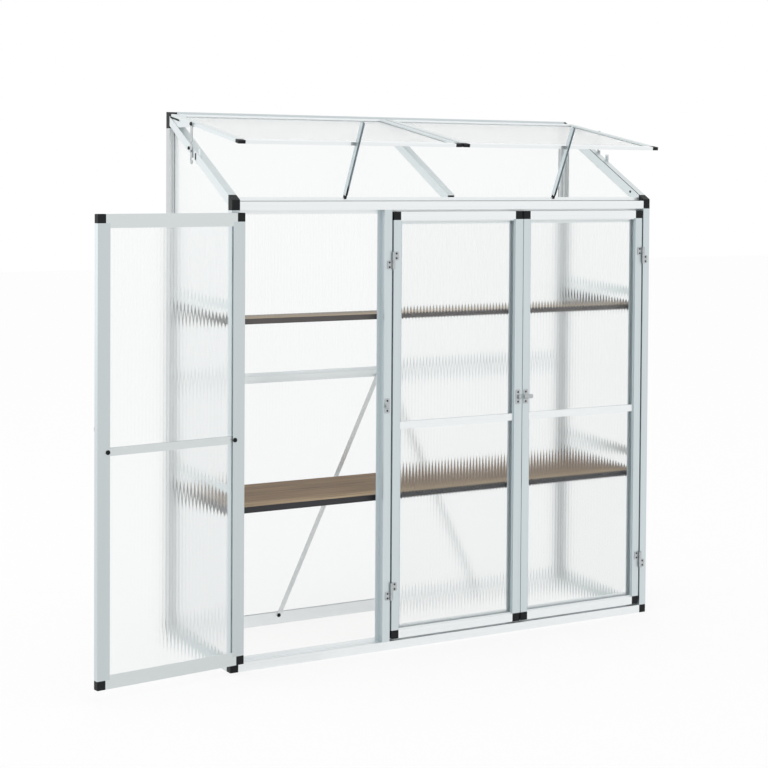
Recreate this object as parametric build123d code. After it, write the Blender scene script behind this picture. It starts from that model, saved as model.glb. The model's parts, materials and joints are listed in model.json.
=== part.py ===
from build123d import *
import os
from math import atan, cos, degrees, hypot, radians, sin, tan

# Lean-to greenhouse cabinet: aluminium tube frame, twin-wall sheets, three hinged doors,
# two shelves and two roof vents propped open.
# X runs to the right, Y to the rear and Z up, in millimetres.
# The origin is the middle of the rear sill's underside.

# Overall sizes
width = 1500.0
depth = 465.0
eave_height = 1345.0
roof_front_rise = 5.0
roof_rise = 261.0

# Square frame tube with its sheet grooves and door stops
tube = 25.0
tube_wall = 1.3
lip_wall = 1.2
lip_reach = 11.0
stop_wall = 1.5
stop_reach = 12.0

# Twin-wall sheet and its seat in a groove
sheet = 4.0
sheet_clearance = 0.3
sheet_seat = 8.0

# Rails that join two sheets edge to edge
side_rail_height = 24.0
lower_side_rail_level = 519.0
upper_side_rail_level = 1046.0
rear_rail_core = 14.0
rear_rail_lip = 9.0
rear_rail_level = 783.0
rail_web = 1.5

# Black plastic connectors that plug into the tube ends
spigot_length = 30.0
spigot_clearance = 0.2
ridge_connector_height = 50.0
connector_chamfer = 1.2

# Diagonal braces on the rear wall
brace_width = 14.5
brace_thickness = 2.5
brace_foot_offset = 371.0
brace_foot_level = 28.0
brace_head_offset = 8.5

# Doors
door_gap = 6.0
door_depth = 18.0
door_bar = 25.0
door_wall = 1.2
door_lip = 4.0
door_seat = 3.0
door_flange = 13.0
door_mid_rail = 22.0
door_spigot = 28.0
door_cap_chamfer = 1.0
left_door_angle = 173.5

# Lift-off hinges, with the pin on the frame's leaf
hinge_inset = 145.0
hinge_leaf_height = 26.0
hinge_leaf_width = 17.0
hinge_leaf_thickness = 2.0
hinge_knuckle_radius = 4.5
hinge_axis_reach = 5.5
hinge_pin_radius = 2.2
hinge_pin_length = 20.0
hinge_pin_clearance = 0.1
hinge_seat_gap = 0.4
hinge_corner_chamfer = 2.5

# Slide latches and their keepers
latch_level = 735.0
latch_plate_width = 17.0
latch_plate_height = 45.0
latch_plate_thickness = 1.5
latch_edge_inset = 3.0
latch_case_height = 14.0
latch_case_reach = 8.0
latch_bolt_radius = 3.0
latch_bolt_clearance = 0.2
latch_tail_length = 16.0
latch_tail_height = 13.0
latch_tail_thickness = 3.0
latch_corner_chamfer = 2.5
keeper_case_width = 9.0

# Roof vents
vent_front_inset = 13.0
vent_gap = 6.0
vent_bar = 22.0
vent_thickness = 10.0
vent_wall = 1.2
vent_lip = 8.0
vent_spigot = 20.0
vent_seat = 6.0
vent_opening_angle = 19.0
vent_bead_radius = 2.7
vent_bead_clearance = 0.3
vent_hook_wall = 1.5
vent_hook_reach = 5.0
vent_neck = 2.0
vent_neck_length = 7.0
vent_hook_web = 3.0
vent_hook_top_angle = 20.0
vent_hook_bottom_angle = 65.0

# Channel props that hold the vents open, each on a pin at the vent's free edge
prop_offset = 5.0
prop_width = 9.0
prop_depth = 13.0
prop_wall = 1.3
prop_tail = 70.0
prop_rail_gap = 3.0
prop_pin_radius = 2.0
prop_pin_clearance = 0.1
prop_lug_wall = 2.0
prop_lug_gap = 0.3
prop_plate_width = 12.0
prop_foot_reach = 8.0
prop_foot_plug = 20.0
prop_foot_seat = 4.0
prop_foot_clearance = 0.2

# Notched stays at the vents' outer edges
stay_width = 13.0
stay_thickness = 2.5
stay_tail = 32.0
stay_place_share = 0.335
stay_gap = 0.3
stay_pin_radius = 3.0
stay_pin_clearance = 0.3
stay_pin_reach = 6.0
stay_notch_pitch = 24.0
stay_notches = 3

# Shelves and the black angles that carry their ends
upper_shelf_top = 1007.0
upper_shelf_depth = 125.0
upper_shelf_thickness = 16.0
lower_shelf_top = 463.0
lower_shelf_rear_gap = 55.0
lower_shelf_thickness = 18.0
shelf_front_inset = 45.0
shelf_end_clearance = 0.5
bearer = 25.0
bearer_wall = 2.5
bearer_sheet_gap = 2.0

# One overrun for every cut
overrun = 5.0

# Planes and levels worked out from the sizes above
left = -width / 2
right = width / 2
rear = tube / 2
front = rear - depth
rear_inner = rear - tube
front_inner = front + tube
left_inner = left + tube
right_inner = right - tube
eave_bottom = eave_height - tube
roof_front_height = eave_height + roof_front_rise
ridge_height = roof_front_height + roof_rise
side_rail_levels = (lower_side_rail_level, upper_side_rail_level)
roof_slope = (ridge_height - roof_front_height) / depth
roof_angle = atan(roof_slope)
upright = 1 / cos(roof_angle)
rafter_drop = tube * upright
door_width = (width - 3 * tube - 5 * door_gap) / 3
door_bottom = tube + door_gap
door_height = eave_bottom - door_gap - door_bottom
mullion_left = left_inner + 2 * door_gap + door_width
mullion_right = mullion_left + tube


def roof_z(y):
    """Height of the rafters' upper face at a depth."""
    return roof_front_height + (y - front) * roof_slope


def block(x, y, z):
    """A box between low and high limits on each axis."""
    sizes = [high - low for low, high in (x, y, z)]
    return Pos(x[0], y[0], z[0]) * Box(*sizes, align=(Align.MIN, Align.MIN, Align.MIN))


def run(axis, start, end, centre, section):
    """A section drawn across an axis and extruded along it; its right and up follow X, Y, Z order."""
    first, second = centre
    planes = {
        "x": Plane((start, first, second), x_dir=(0, 1, 0), z_dir=(1, 0, 0)),
        "y": Plane((first, end, second), x_dir=(1, 0, 0), z_dir=(0, -1, 0)),
        "z": Plane((first, second, start), x_dir=(1, 0, 0), z_dir=(0, 0, 1)),
    }
    return extrude(planes[axis] * section, amount=end - start)


def hollow(across, through, wall):
    """The section of a rectangular tube."""
    return Rectangle(across, through) - Rectangle(across - 2 * wall, through - 2 * wall)


def groove(direction, half, reach):
    """Two lips on one side of a tube, a sheet's width apart."""
    right_way, up_way = direction
    out = half + reach / 2
    side = sheet / 2 + sheet_clearance + lip_wall / 2
    across = abs(right_way) * reach + abs(up_way) * lip_wall
    through = abs(up_way) * reach + abs(right_way) * lip_wall
    lips = [
        Pos(right_way * out + s * up_way * side, up_way * out + s * right_way * side)
        * Rectangle(across, through)
        for s in (-1, 1)
    ]
    return lips[0] + lips[1]


def flange(direction, flush, halves, reach, wall):
    """One lip on a side of a tube, flush with the tube's face on the flush side."""
    right_way, up_way = direction
    out = halves[0] + reach / 2
    side = halves[1] - wall / 2
    across = abs(right_way) * reach + abs(up_way) * wall
    through = abs(up_way) * reach + abs(right_way) * wall
    place = Pos(right_way * out + flush[0] * side, up_way * out + flush[1] * side)
    return place * Rectangle(across, through)


def stop(direction, flush):
    """A flange on the frame tube, for a door to close against."""
    return flange(direction, flush, (tube / 2, tube / 2), stop_reach, stop_wall)


def joining_section(height):
    """An H section that takes a sheet from above and from below."""
    half = sheet / 2 + sheet_clearance
    flange = Rectangle(lip_wall, height)
    web = Rectangle(2 * half, rail_web)
    return web + Pos(half + lip_wall / 2, 0) * flange + Pos(-half - lip_wall / 2, 0) * flange


def roof_band(y_low, y_high, top_drop, bottom_drop):
    """A strip that follows the roof's slope, between two drops below the rafters' upper face."""
    return Polygon(
        (y_low, roof_z(y_low) - top_drop),
        (y_high, roof_z(y_high) - top_drop),
        (y_high, roof_z(y_high) - bottom_drop),
        (y_low, roof_z(y_low) - bottom_drop),
        align=None,
    )


def side_slab(section, x_low, x_high):
    """A section drawn in depth and height, extruded across the width."""
    return extrude(Plane.YZ.offset(x_low) * section, amount=x_high - x_low, dir=(1, 0, 0))


def save(name, *solids):
    """Writes one node, as one solid or as several that belong together."""
    shape = solids[0] if len(solids) == 1 else Compound(children=list(solids))
    export_step(shape, f"parts/{name}.step")


tube_section = hollow(tube, tube, tube_wall)
half_tube = tube / 2


# Posts and mullion

def front_post(x, inward):
    """A front post, with a groove for the side sheet and a stop for the door."""
    section = tube_section + groove((0, 1), half_tube, lip_reach) + stop((inward, 0), (0, 1))
    return run("z", tube, eave_bottom, (x, front + half_tube), section)


def rear_post(x, inward):
    """A rear post, with grooves for the side sheet and the rear sheet."""
    top = ridge_height - ridge_connector_height
    section = tube_section + groove((0, -1), half_tube, lip_reach)
    section += groove((inward, 0), half_tube, lip_reach)
    return run("z", tube, top, (x, rear - half_tube), section)


def mullion():
    """The post between the single door and the pair."""
    section = tube_section + stop((1, 0), (0, 1)) + stop((-1, 0), (0, 1))
    return run("z", tube, eave_bottom, (mullion_left + half_tube, front + half_tube), section)


ways = (1, -1)
edges = (left + half_tube, right - half_tube)
save("front_posts", *[front_post(x, way) for x, way in zip(edges, ways)])
save("rear_posts", *[rear_post(x, way) for x, way in zip(edges, ways)])
save("front_mullion", mullion())


# Rails that run across the width

door_bays = (
    (left_inner + stop_reach, mullion_left - stop_reach),
    (mullion_right + stop_reach, right_inner - stop_reach),
)


def across_rail(y, z):
    """A plain tube between the left and right connectors."""
    return run("x", left_inner, right_inner, (y, z), tube_section)


def with_door_stops(rail, z, way):
    """A front rail with a stop lip along each door bay."""
    for low, high in door_bays:
        rail += run("x", low, high, (front + half_tube, z), stop((0, way), (1, 0)))
    return rail


def front_sill():
    """The bottom rail under the doors."""
    return with_door_stops(across_rail(front + half_tube, half_tube), half_tube, 1)


def eave_rail():
    """The rail over the doors, with an upright lip behind which the vents close."""
    z = eave_height - half_tube
    rail = with_door_stops(across_rail(front + half_tube, z), z, -1)
    return rail + run("x", left_inner, right_inner, (front + half_tube, z), stop((0, 1), (1, 0)))


def rear_sill():
    """The bottom rail of the rear wall, with an upright lip flush with its inner face."""
    lips = groove((0, 1), half_tube, lip_reach) + stop((0, 1), (-1, 0))
    rail = across_rail(rear - half_tube, half_tube)
    return rail + run(
        "x", left_inner + lip_reach, right_inner - lip_reach, (rear - half_tube, half_tube), lips
    )


def rear_mid_rail():
    """The rail that joins the rear wall's two sheets."""
    section = hollow(tube, rear_rail_core, tube_wall)
    section += groove((0, 1), rear_rail_core / 2, rear_rail_lip)
    section += groove((0, -1), rear_rail_core / 2, rear_rail_lip)
    ends = (left_inner + lip_reach, right_inner - lip_reach)
    return run("x", *ends, (rear - half_tube, rear_rail_level), section)


hook_inner = vent_bead_radius + vent_bead_clearance
hook_outer = hook_inner + vent_hook_wall
hinge_y = rear_inner - vent_hook_reach
hinge_z = roof_z(hinge_y) + vent_thickness / 2 * upright
vent_slope = degrees(roof_angle) - vent_opening_angle
vent_length = (hinge_y - front - vent_front_inset) * upright


def vent_hook_section():
    """The open round channel on the ridge in which the vents' beads turn."""
    ring = Circle(hook_outer) - Circle(hook_inner)
    far = hook_outer + overrun
    rise = far * tan(radians(vent_hook_top_angle))
    fall = far * tan(radians(vent_hook_bottom_angle))
    mouth = Polygon((0, 0), (-far, rise), (-far, -fall), align=None)
    web_start = hook_inner + vent_hook_wall / 2
    web_length = rear_inner - hinge_y - web_start
    rail_mid = ridge_height - half_tube - hinge_z
    web = Pos(web_start + web_length / 2, rail_mid / 2)
    web = web * Rectangle(web_length, vent_hook_web + abs(rail_mid))
    return ring - mouth + web


def ridge_rail():
    """The top rear rail, with the vents' hinge channel and a groove for the rear sheet."""
    z = ridge_height - half_tube
    lips = groove((0, -1), half_tube, lip_reach)
    rail = across_rail(rear - half_tube, z)
    rail += run("x", left_inner + lip_reach, right_inner - lip_reach, (rear - half_tube, z), lips)
    return rail + run("x", left_inner, right_inner, (hinge_y, hinge_z), vent_hook_section())


save("front_sill", front_sill())
save("eave_rail", eave_rail())
save("rear_sill", rear_sill())
save("rear_mid_rail", rear_mid_rail())
save("ridge_rail", ridge_rail())


# Side sills, side rails and rafters

def side_sill(x):
    """The bottom rail of a side wall."""
    sill = run("y", front_inner, rear_inner, (x, half_tube), tube_section)
    ends = (front_inner + lip_reach, rear_inner - lip_reach)
    return sill + run("y", *ends, (x, half_tube), groove((0, 1), half_tube, lip_reach))


def side_rails(x):
    """The two rails that join a side wall's sheets."""
    ends = (front_inner + lip_reach, rear_inner - lip_reach)
    return [
        run("y", *ends, (x, level), joining_section(side_rail_height)) for level in side_rail_levels
    ]


def rafter(x_low, grooved):
    """A sloping tube from the eave to the ridge, cut upright at both ends."""
    wall = tube_wall * upright
    outer = side_slab(roof_band(front_inner, rear_inner, 0, rafter_drop), x_low, x_low + tube)
    bore = roof_band(front_inner - overrun, rear_inner + overrun, wall, rafter_drop - wall)
    solid = outer - side_slab(bore, x_low + tube_wall, x_low + tube - tube_wall)
    if grooved:
        drop = rafter_drop + lip_reach * upright
        lip = roof_band(front_inner, rear_inner - lip_reach, rafter_drop, drop)
        inner = sheet / 2 + sheet_clearance
        centre = x_low + half_tube
        solid += side_slab(lip, centre + inner, centre + inner + lip_wall)
        solid += side_slab(lip, centre - inner - lip_wall, centre - inner)
    return solid


save("side_sills", *[side_sill(x) for x in edges])
save("side_rails", *[rail for x in edges for rail in side_rails(x)])
save("rafters", rafter(left, True), rafter(-half_tube, False), rafter(right_inner, True))


# Corner connectors, each a block with spigots that plug into the tubes

spigot = tube - 2 * tube_wall - 2 * spigot_clearance
spigot_section = Rectangle(spigot, spigot)


def side_of(x_way):
    """The left or right corner's outer limits, tube centre and inner plane."""
    low, high = (left, left_inner) if x_way > 0 else (right_inner, right)
    inner = high if x_way > 0 else low
    return (low, high), (low + high) / 2, inner


def spigot_across(x_way, y, z):
    """The spigot that enters a rail across the width."""
    inner = side_of(x_way)[2]
    start, end = sorted((inner, inner + x_way * spigot_length))
    return run("x", start, end, (y, z), spigot_section)


def base_connector(x_way, y_way):
    """A bottom corner with spigots for the sill, the side sill and the post."""
    span, x, _ = side_of(x_way)
    y_span = (front, front_inner) if y_way > 0 else (rear_inner, rear)
    y = sum(y_span) / 2
    y_inner = y_span[1] if y_way > 0 else y_span[0]
    start, end = sorted((y_inner, y_inner + y_way * spigot_length))
    corner = block(span, y_span, (0, tube))
    corner = chamfer(corner.edges().filter_by(Axis.Z), connector_chamfer)
    corner += spigot_across(x_way, y, half_tube)
    corner += run("y", start, end, (x, half_tube), spigot_section)
    return corner + run("z", tube, tube + spigot_length, (x, y), spigot_section)


def rafter_spigot(x, y_start, y_end):
    """A sloping spigot that enters a side rafter."""
    wall = (tube_wall + spigot_clearance) * upright
    return side_slab(
        roof_band(y_start, y_end, wall, rafter_drop - wall), x - spigot / 2, x + spigot / 2
    )


def roof_corner(x_way, y_low, y_high, z_low):
    """A corner block whose top follows the roof."""
    span = side_of(x_way)[0]
    outline = Polygon(
        (y_low, z_low), (y_high, z_low), (y_high, roof_z(y_high)), (y_low, roof_z(y_low)), align=None
    )
    return side_slab(outline, *span)


def eave_connector(x_way):
    """A front top corner with spigots for the post, the eave rail and the rafter."""
    x = side_of(x_way)[1]
    y = front + half_tube
    corner = roof_corner(x_way, front, front_inner, eave_bottom)
    corner += spigot_across(x_way, y, eave_height - half_tube)
    corner += run("z", eave_bottom - spigot_length, eave_bottom, (x, y), spigot_section)
    return corner + rafter_spigot(x, front_inner, front_inner + spigot_length)


def ridge_connector(x_way):
    """A rear top corner with spigots for the post, the ridge rail and the rafter."""
    x = side_of(x_way)[1]
    y = rear - half_tube
    bottom = ridge_height - ridge_connector_height
    corner = roof_corner(x_way, rear_inner, rear, bottom)
    corner += spigot_across(x_way, y, ridge_height - half_tube)
    corner += run("z", bottom - spigot_length, bottom, (x, y), spigot_section)
    return corner + rafter_spigot(x, rear_inner - spigot_length, rear_inner)


save("base_connectors", *[base_connector(x_way, y_way) for x_way in ways for y_way in ways])
save("eave_connectors", *[eave_connector(x_way) for x_way in ways])
save("ridge_connectors", *[ridge_connector(x_way) for x_way in ways])


# Twin-wall sheets of the side and rear walls

sheet_back_off = lip_reach - sheet_seat


def side_panels(x):
    """A side wall's three sheets, the top one cut to the roof's slope."""
    x_span = (x - sheet / 2, x + sheet / 2)
    y_span = (front_inner + sheet_back_off, rear_inner - sheet_back_off)
    edge = side_rail_height / 2 - sheet_seat
    low, high = side_rail_levels
    lower = block(x_span, y_span, (tube + sheet_back_off, low - edge))
    middle = block(x_span, y_span, (low + edge, high - edge))
    drop = rafter_drop + sheet_back_off * upright
    outline = Polygon(
        (y_span[0], high + edge),
        (y_span[1], high + edge),
        (y_span[1], roof_z(y_span[1]) - drop),
        (y_span[0], roof_z(y_span[0]) - drop),
        align=None,
    )
    return lower, middle, side_slab(outline, *x_span)


def rear_panels():
    """The rear wall's two sheets."""
    x_span = (left_inner + sheet_back_off, right_inner - sheet_back_off)
    y_span = (rear - half_tube - sheet / 2, rear - half_tube + sheet / 2)
    edge = rear_rail_core / 2 + rear_rail_lip - sheet_seat
    lower = block(x_span, y_span, (tube + sheet_back_off, rear_rail_level - edge))
    upper = block(x_span, y_span, (rear_rail_level + edge, ridge_height - tube - sheet_back_off))
    return lower, upper


save("side_panels", *[panel for x in edges for panel in side_panels(x)])
save("rear_panels", *rear_panels())


# Diagonal braces on the inner face of the rear wall

def rear_brace(x_way):
    """A flat bar from the sill's upper edge to the middle of the rear rail."""
    foot_x = x_way * brace_foot_offset
    head_x = x_way * brace_head_offset
    rise = rear_rail_level - brace_foot_level
    length = hypot(foot_x - head_x, rise)
    lean = degrees(atan((head_x - foot_x) / rise))
    plane = Plane(
        ((foot_x + head_x) / 2, rear_inner, brace_foot_level + rise / 2),
        x_dir=(1, 0, 0),
        z_dir=(0, -1, 0),
    )
    outline = Rot(0, 0, 90 - lean) * SlotCenterToCenter(length, brace_width)
    return extrude(plane * outline, amount=brace_thickness)


save("rear_braces", *[rear_brace(x_way) for x_way in ways])


# Shelves, carried by an angle at each end

bearer_outer = width / 2 - half_tube - sheet / 2 - bearer_sheet_gap


def shelf_bearer(x_way, shelf_bottom):
    """An angle between the posts, with its flat leg under the shelf."""
    outer = x_way * bearer_outer
    corner = Pos(-x_way * bearer / 2, bearer / 2) * Rectangle(bearer, bearer)
    inside = (bearer + bearer_wall) / 2
    corner -= Pos(-x_way * inside, inside) * Rectangle(bearer - bearer_wall, bearer - bearer_wall)
    return run("y", front_inner, rear_inner, (outer, shelf_bottom - bearer_wall), corner)


def shelf(top, thickness, y_high):
    """A board from end to end, a little behind the doors."""
    end = bearer_outer - bearer_wall - shelf_end_clearance
    return block((-end, end), (shelf_front, y_high), (top - thickness, top))


shelf_front = front + shelf_front_inset
upper_rear = shelf_front + upper_shelf_depth
lower_rear = rear_inner - lower_shelf_rear_gap
upper_bottom = upper_shelf_top - upper_shelf_thickness
lower_bottom = lower_shelf_top - lower_shelf_thickness
save("upper_shelf", shelf(upper_shelf_top, upper_shelf_thickness, upper_rear))
save("lower_shelf", shelf(lower_shelf_top, lower_shelf_thickness, lower_rear))
save(
    "shelf_bearers",
    *[shelf_bearer(x_way, level) for level in (upper_bottom, lower_bottom) for x_way in ways],
)


# Doors, drawn closed with the hinged edge at X = 0 and the front face at Y = 0

door_section = hollow(door_bar, door_depth, door_wall)
rail_section = hollow(door_depth, door_bar, door_wall)
half_bar = door_bar / 2
half_depth = door_depth / 2
door_mid = door_height / 2
axis_x = -door_gap / 2
axis_y = -hinge_axis_reach
hinge_levels = (hinge_inset, door_height - hinge_inset)
latch_z = latch_level - door_bottom


def back_flange(direction, flush):
    """The wide flange behind the panes, flush with the door's back."""
    return flange(direction, flush, (half_bar, half_depth), door_flange, lip_wall)


def door_stiles():
    """The two uprights, grooved for the panes and flanged at the back."""
    stiles = []
    for x, inward in ((half_bar, 1), (door_width - half_bar, -1)):
        section = door_section + groove((inward, 0), half_bar, door_lip)
        section += back_flange((inward, 0), (0, 1))
        stiles.append(run("z", door_bar, door_height - door_bar, (x, half_depth), section))
    return stiles


def door_rails():
    """The bottom, top and joining rails."""
    lip_ends = (door_bar + door_lip, door_width - door_bar - door_lip)
    flange_ends = (door_bar + door_flange, door_width - door_bar - door_flange)
    rails = []
    for z, inward in ((half_bar, 1), (door_height - half_bar, -1)):
        rail = run("x", door_bar, door_width - door_bar, (half_depth, z), rail_section)
        lips = groove((0, inward), half_bar, door_lip)
        rail += run("x", *lip_ends, (half_depth, z), lips)
        rails.append(rail + run("x", *flange_ends, (half_depth, z), back_flange((0, inward), (1, 0))))
    rails.append(run("x", *lip_ends, (half_depth, door_mid), joining_section(door_mid_rail)))
    return rails


def door_corner(x_way, z_way):
    """A black corner block with spigots for a stile and a rail."""
    x_span = (0, door_bar) if x_way > 0 else (door_width - door_bar, door_width)
    z_span = (0, door_bar) if z_way > 0 else (door_height - door_bar, door_height)
    inset = door_wall + spigot_clearance
    corner = block(x_span, (0, door_depth), z_span)
    corner = chamfer(corner.edges().filter_by(Axis.Y), door_cap_chamfer)
    x_inner = x_span[1] if x_way > 0 else x_span[0]
    z_inner = z_span[1] if z_way > 0 else z_span[0]
    start, end = sorted((x_inner, x_inner + x_way * door_spigot))
    plug = Rectangle(door_depth - 2 * inset, door_bar - 2 * inset)
    corner += run("x", start, end, (half_depth, sum(z_span) / 2), plug)
    start, end = sorted((z_inner, z_inner + z_way * door_spigot))
    plug = Rectangle(door_bar - 2 * inset, door_depth - 2 * inset)
    return corner + run("z", start, end, (sum(x_span) / 2, half_depth), plug)


def door_panes():
    """The sheets above and below the door's mid rail."""
    back_off = door_bar + door_lip - door_seat
    x_span = (back_off, door_width - back_off)
    y_span = (half_depth - sheet / 2, half_depth + sheet / 2)
    edge = door_mid_rail / 2 - sheet_seat
    lower = block(x_span, y_span, (back_off, door_mid - edge))
    upper = block(x_span, y_span, (door_mid + edge, door_height - back_off))
    return lower, upper


def hinge_leaf(x_way, z_low):
    """A leaf on a front face with its knuckle over the hinge axis, towards -x_way from the leaf."""
    edge = axis_x + x_way * (door_gap / 2 + hinge_leaf_width)
    start, end = sorted((axis_x, edge))
    z_high = z_low + hinge_leaf_height
    leaf = block((start, end), (-hinge_leaf_thickness, 0), (z_low, z_high))
    outer = leaf.edges().filter_by(Axis.Y).group_by(Axis.X)[-1 if x_way > 0 else 0]
    leaf = chamfer(outer, hinge_corner_chamfer)
    return leaf + run("z", z_low, z_high, (axis_x, axis_y), Circle(hinge_knuckle_radius))


def door_hinge(level):
    """The upper leaf, on the door, bored for the pin."""
    z_low = level + hinge_seat_gap / 2
    leaf = hinge_leaf(1, z_low)
    bore = Circle(hinge_pin_radius + hinge_pin_clearance)
    return leaf - run("z", z_low - overrun, z_low + hinge_leaf_height + overrun, (axis_x, axis_y), bore)


def frame_hinge(level):
    """The lower leaf, on the frame, with the pin standing out of its knuckle."""
    top = level - hinge_seat_gap / 2
    leaf = hinge_leaf(-1, top - hinge_leaf_height)
    pin = Circle(hinge_pin_radius)
    return leaf + run("z", top, top + hinge_seat_gap + hinge_pin_length, (axis_x, axis_y), pin)


def latch_plate(x_low, x_high):
    """A screw plate with clipped corners on a front face."""
    plate = block(
        (x_low, x_high),
        (-latch_plate_thickness, 0),
        (latch_z - latch_plate_height / 2, latch_z + latch_plate_height / 2),
    )
    return chamfer(plate.edges().filter_by(Axis.Y), latch_corner_chamfer)


def latch_case(x_low, x_high, bore_radius):
    """The raised case on a plate through which the bolt slides."""
    case = block(
        (x_low, x_high),
        (-latch_case_reach, -latch_plate_thickness),
        (latch_z - latch_case_height / 2, latch_z + latch_case_height / 2),
    )
    front_edges = case.edges().filter_by(Axis.X).group_by(Axis.Y)[0]
    case = chamfer(front_edges, latch_corner_chamfer)
    y = -(latch_case_reach + latch_plate_thickness) / 2
    bore = run("x", x_low - overrun, x_high + overrun, (y, latch_z), Circle(bore_radius))
    return case - bore


def door_latch():
    """A slide latch on the free stile, drawn back: its cased plate and its bolt."""
    x_high = door_width - latch_edge_inset
    x_low = x_high - latch_plate_width
    y = -(latch_case_reach + latch_plate_thickness) / 2
    body = latch_plate(x_low, x_high)
    body += latch_case(x_low, x_high, latch_bolt_radius + latch_bolt_clearance)
    bolt = run("x", x_low - latch_tail_length, x_high, (y, latch_z), Circle(latch_bolt_radius))
    tail = block(
        (x_low - latch_tail_length, x_low - latch_bolt_clearance),
        (y - latch_tail_thickness / 2, y + latch_tail_thickness / 2),
        (latch_z - latch_tail_height / 2, latch_z + latch_tail_height / 2),
    )
    tail = chamfer(tail.edges().filter_by(Axis.Y), latch_corner_chamfer)
    return body, bolt + tail


def latch_keeper(x_near, way):
    """A keeper whose case stands at the edge near the latch."""
    start, end = sorted((x_near, x_near + way * latch_plate_width))
    plate = latch_plate(start, end)
    start, end = sorted((x_near, x_near + way * keeper_case_width))
    return plate + latch_case(start, end, latch_bolt_radius + 2 * latch_bolt_clearance)


def placed(solids, spot, flip=False, turn=0.0):
    """Door pieces moved to their place, mirrored for a right-hand hinge or turned about the hinge."""
    done = []
    for solid in solids:
        if flip:
            solid = mirror(solid, about=Plane.YZ)
        solid = Pos(spot, front, door_bottom) * solid
        if turn:
            x = spot + axis_x
            solid = solid.rotate(Axis((x, front + axis_y, 0), (0, 0, 1)), turn)
        done.append(solid)
    return done


door_places = {
    "left": dict(spot=left_inner + door_gap, turn=-left_door_angle),
    "middle": dict(spot=mullion_right + door_gap),
    "right": dict(spot=right_inner - door_gap, flip=True),
}
door_fittings = {
    "left": door_latch(),
    "middle": (latch_keeper(door_width - latch_edge_inset, -1),),
    "right": door_latch(),
}

frame_leaves = []
for name, place in door_places.items():
    corners = [door_corner(x_way, z_way) for x_way in ways for z_way in ways]
    fitting = "keeper" if name == "middle" else "latch"
    save(f"{name}_door_stiles", *placed(door_stiles(), **place))
    save(f"{name}_door_rails", *placed(door_rails(), **place))
    save(f"{name}_door_corners", *placed(corners, **place))
    save(f"{name}_door_panes", *placed(door_panes(), **place))
    save(f"{name}_door_hinges", *placed([door_hinge(z) for z in hinge_levels], **place))
    save(f"{name}_door_{fitting}", *placed(door_fittings[name], **place))
    closed = {key: value for key, value in place.items() if key != "turn"}
    frame_leaves += placed([frame_hinge(z) for z in hinge_levels], **closed)

save("frame_hinges", *frame_leaves)
keeper_spot = mullion_left + latch_edge_inset
save("mullion_keeper", *placed([latch_keeper(0, 1)], keeper_spot))


# Roof vents, drawn flat with the hinge bead along X and the free edge towards -Y

vent_section = hollow(vent_bar, vent_thickness, vent_wall)
half_vent_bar = vent_bar / 2
vent_spans = ((left, -vent_gap / 2), (vent_gap / 2, right))


def vent_placed(solid):
    """A vent piece turned to the open vent's slope and set on the hinge."""
    return Pos(0, hinge_y, hinge_z) * Rot(vent_slope, 0, 0) * solid


def vent_stiles(span):
    """A vent's two sloping bars, grooved for its sheet."""
    low, high = span
    end = -vent_length + vent_bar
    top = -vent_neck_length
    stiles = []
    for x, inward in ((low + half_vent_bar, 1), (high - half_vent_bar, -1)):
        stile = run("y", end, top, (x, 0), vent_section)
        lips = groove((inward, 0), half_vent_bar, vent_lip)
        stiles.append(stile + run("y", end, top - vent_bar, (x, 0), lips))
    return stiles


def vent_rails(span):
    """A vent's top rail with its hinge bead, and its bottom rail."""
    inner = (span[0] + vent_bar, span[1] - vent_bar)
    lip_ends = (inner[0] + vent_lip, inner[1] - vent_lip)
    top_y = -vent_neck_length - half_vent_bar
    top = run("x", *inner, (top_y, 0), vent_section)
    top += run("x", *lip_ends, (top_y, 0), groove((-1, 0), half_vent_bar, vent_lip))
    neck = Pos(-vent_neck_length / 2, 0) * Rectangle(vent_neck_length, vent_neck)
    top += run("x", *inner, (0, 0), neck + Circle(vent_bead_radius))
    end_y = -vent_length + half_vent_bar
    end = run("x", *inner, (end_y, 0), vent_section)
    end += run("x", *lip_ends, (end_y, 0), groove((1, 0), half_vent_bar, vent_lip))
    return top, end


def vent_corner(span, x_way):
    """A black corner at the free edge, plugged into the stile and the bottom rail."""
    low, high = span
    x_span = (low, low + vent_bar) if x_way > 0 else (high - vent_bar, high)
    y_end = -vent_length + vent_bar
    half = vent_thickness / 2
    inset = vent_wall + spigot_clearance
    corner = block(x_span, (-vent_length, y_end), (-half, half))
    corner = chamfer(corner.edges().filter_by(Axis.Z), connector_chamfer)
    plug = Rectangle(vent_bar - 2 * inset, vent_thickness - 2 * inset)
    inner = x_span[1] if x_way > 0 else x_span[0]
    start, end = sorted((inner, inner + x_way * vent_spigot))
    corner += run("x", start, end, (-vent_length + half_vent_bar, 0), plug)
    return corner + run("y", y_end, y_end + vent_spigot, (sum(x_span) / 2, 0), plug)


def vent_panel(span):
    """The sheet in a vent's frame."""
    back_off = vent_bar + vent_lip - vent_seat
    return block(
        (span[0] + back_off, span[1] - back_off),
        (-vent_length + back_off, -vent_neck_length - back_off),
        (-sheet / 2, sheet / 2),
    )


save("vent_stiles", *[vent_placed(bar) for span in vent_spans for bar in vent_stiles(span)])
save("vent_rails", *[vent_placed(bar) for span in vent_spans for bar in vent_rails(span)])
save("vent_panels", *[vent_placed(vent_panel(span)) for span in vent_spans])
save(
    "vent_corners",
    *[vent_placed(vent_corner(span, x_way)) for span in vent_spans for x_way in ways],
)


# Props: each hangs on a pin at the vent's free edge and stands on the eave rail's upright lip

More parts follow.
